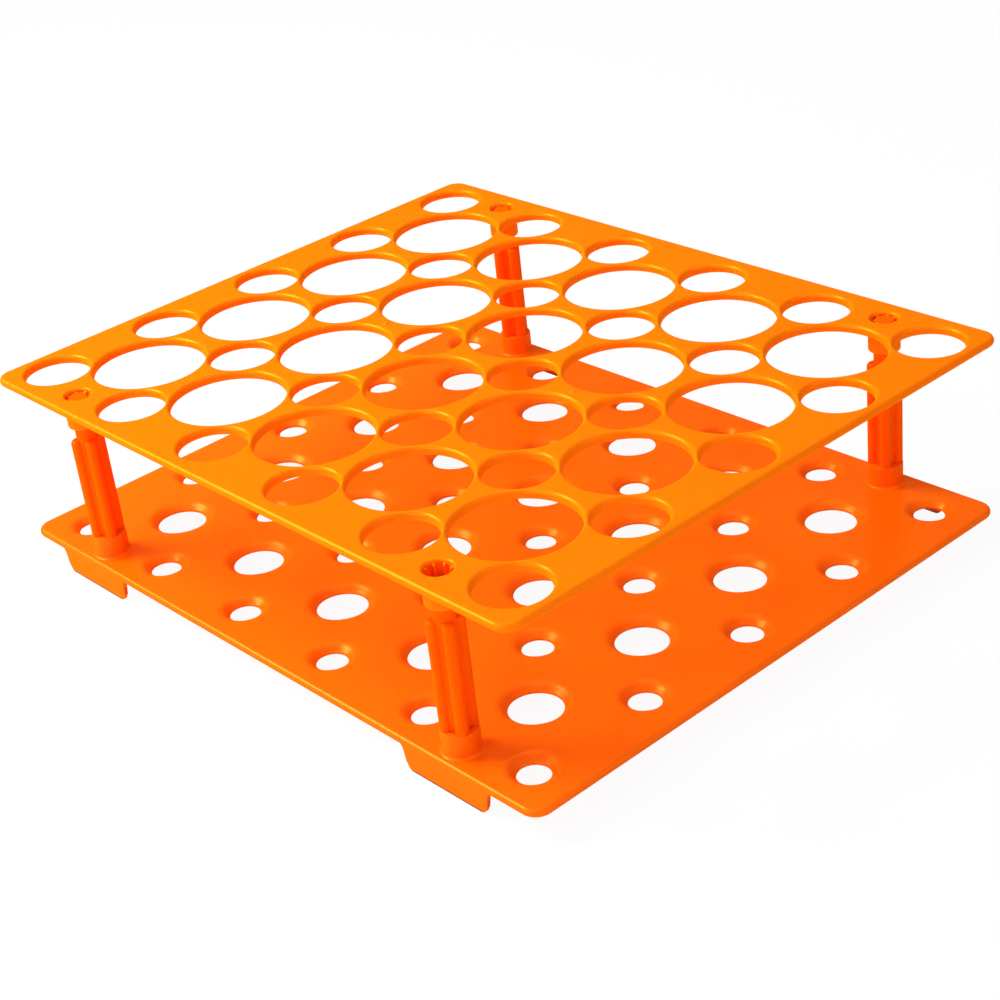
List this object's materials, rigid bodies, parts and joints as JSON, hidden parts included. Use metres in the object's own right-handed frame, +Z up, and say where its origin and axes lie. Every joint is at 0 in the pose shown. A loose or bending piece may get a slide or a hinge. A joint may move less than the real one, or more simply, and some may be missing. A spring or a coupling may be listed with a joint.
{
  "type": "centrifuge tube rack",
  "caption": "Two-deck open bench rack: a perforated tube deck held over a seated base deck by fluted corner posts, for conical centrifuge tubes of two sizes.",
  "frame": {"origin": "on the table, under the middle of the rack", "axes": "+X along the long side, +Y along the short side towards the back, +Z up out of the wells"},
  "size_m": [0.203, 0.168, 0.0558],
  "materials": {
    "deck_orange": "moulded polypropylene with a soft satin sheen",
    "base_orange": "moulded polypropylene with a soft satin sheen, a little deeper in tone than the upper deck",
    "post_orange": "moulded polypropylene with a soft satin sheen"
  },
  "bodies": {
    "root": {"tube_deck": "deck_orange", "base_deck": "base_orange", "post_front_left": "post_orange", "post_front_right": "post_orange", "post_back_left": "post_orange", "post_back_right": "post_orange"}
  },
  "joints": []
}
